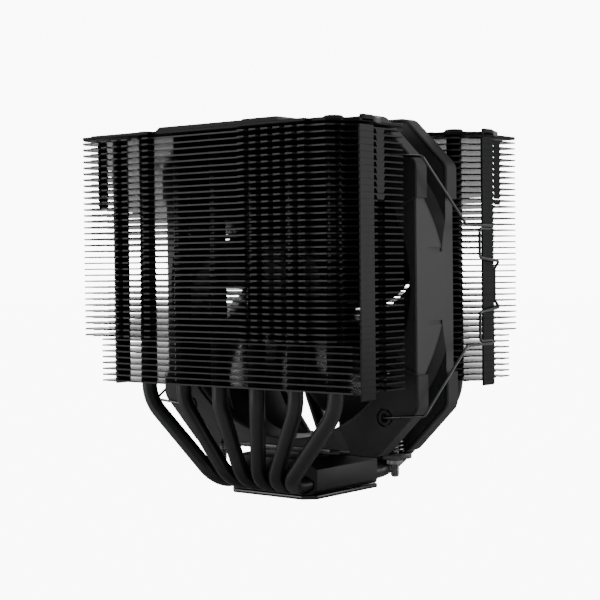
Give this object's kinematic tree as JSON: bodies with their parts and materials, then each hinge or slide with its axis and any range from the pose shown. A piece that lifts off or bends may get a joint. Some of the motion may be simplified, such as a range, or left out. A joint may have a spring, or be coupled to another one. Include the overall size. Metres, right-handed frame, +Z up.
{
  "type": "dual-tower cpu cooler",
  "caption": "Dual-tower air cooler: two black fin stacks on U-shaped heat pipes, a middle fan held by wire clips, and a sprung mounting bar over the base.",
  "frame": {"origin": "centre of the cold plate's flat underside, which seats on the processor", "axes": "+Z up from the processor to the top plates, X along the fins' long side, +Y with the airflow from the front tower to the rear one"},
  "size_m": [0.1504, 0.132, 0.1547],
  "materials": {
    "fin": "satin black coating",
    "top": "semi-gloss black",
    "pipe": "satin black coating",
    "nickel": "polished nickel",
    "block": "satin black",
    "bar": "satin black",
    "bright": "bright plated steel",
    "ring": "dark spring steel",
    "fan": "matte dark grey",
    "pad": "matte black",
    "blade": "satin black",
    "magnet": "bonded ferrite",
    "bronze": "sintered bronze",
    "board": "green laminate",
    "copper": "enamelled copper"
  },
  "bodies": {
    "cooler": {"cold_plate": "nickel", "base_block": "block", "heat_pipe_1": "pipe", "heat_pipe_2": "pipe", "heat_pipe_3": "pipe", "heat_pipe_4": "pipe", "heat_pipe_5": "pipe", "heat_pipe_6": "pipe", "front_lower_fins": "fin", "front_upper_fins": "fin", "front_top_plate": "top", "rear_lower_fins": "fin", "rear_upper_fins": "fin", "rear_top_plate": "top", "mounting_bar": "bar", "bar_screw_left": "bright", "bar_screw_right": "bright", "screw_spring_left": "bright", "screw_spring_right": "bright"},
    "fan": {"fan_frame": "fan", "front_pad_top_left": "pad", "front_pad_top_right": "pad", "front_pad_bottom_left": "pad", "front_pad_bottom_right": "pad", "rear_pad_top_left": "pad", "rear_pad_top_right": "pad", "rear_pad_bottom_left": "pad", "rear_pad_bottom_right": "pad", "fan_bearing": "bronze", "motor_coils": "copper", "circuit_board": "board"},
    "rotor": {"fan_rotor": "blade", "rotor_magnet": "magnet", "fan_shaft": "bright"},
    "clip_left": {"wire_clip_left": "bright"},
    "clip_right": {"wire_clip_right": "bright"},
    "ring_left": {"retaining_ring_left": "ring"},
    "screw_left": {"spring_screw_left": "bright"},
    "ring_right": {"retaining_ring_right": "ring"},
    "screw_right": {"spring_screw_right": "bright"}
  },
  "joints": [
    {"name": "fan_lift", "type": "slide", "parent": "cooler", "child": "fan", "axis": [0, 0, 1], "range_m": [0, 0.15]},
    {"name": "fan_spin", "type": "hinge", "parent": "fan", "child": "rotor", "pos_m": [0, 0, 0.0872], "axis": [0, 1, 0], "continuous": true},
    {"name": "clip_left_swing", "type": "hinge", "parent": "fan", "child": "clip_left", "pos_m": [-0.0525, -0.0133, 0.0872], "axis": [0, 0, 1], "range_deg": [0, 14]},
    {"name": "clip_right_swing", "type": "hinge", "parent": "fan", "child": "clip_right", "pos_m": [0.0525, -0.0133, 0.0872], "axis": [0, 0, -1], "range_deg": [0, 14]},
    {"name": "screw_press_left", "type": "slide", "parent": "cooler", "child": "ring_left", "axis": [0, 0, -1], "range_m": [0, 0.003], "stiffness_N_per_m": 3000, "deforming": ["screw_spring_left"]},
    {"name": "screw_turn_left", "type": "hinge", "parent": "ring_left", "child": "screw_left", "pos_m": [-0.047, 0, 0.0167], "axis": [0, 0, 1], "continuous": true},
    {"name": "screw_press_right", "type": "slide", "parent": "cooler", "child": "ring_right", "axis": [0, 0, -1], "range_m": [0, 0.003], "stiffness_N_per_m": 3000, "deforming": ["screw_spring_right"]},
    {"name": "screw_turn_right", "type": "hinge", "parent": "ring_right", "child": "screw_right", "pos_m": [0.047, 0, 0.0167], "axis": [0, 0, 1], "continuous": true}
  ]
}
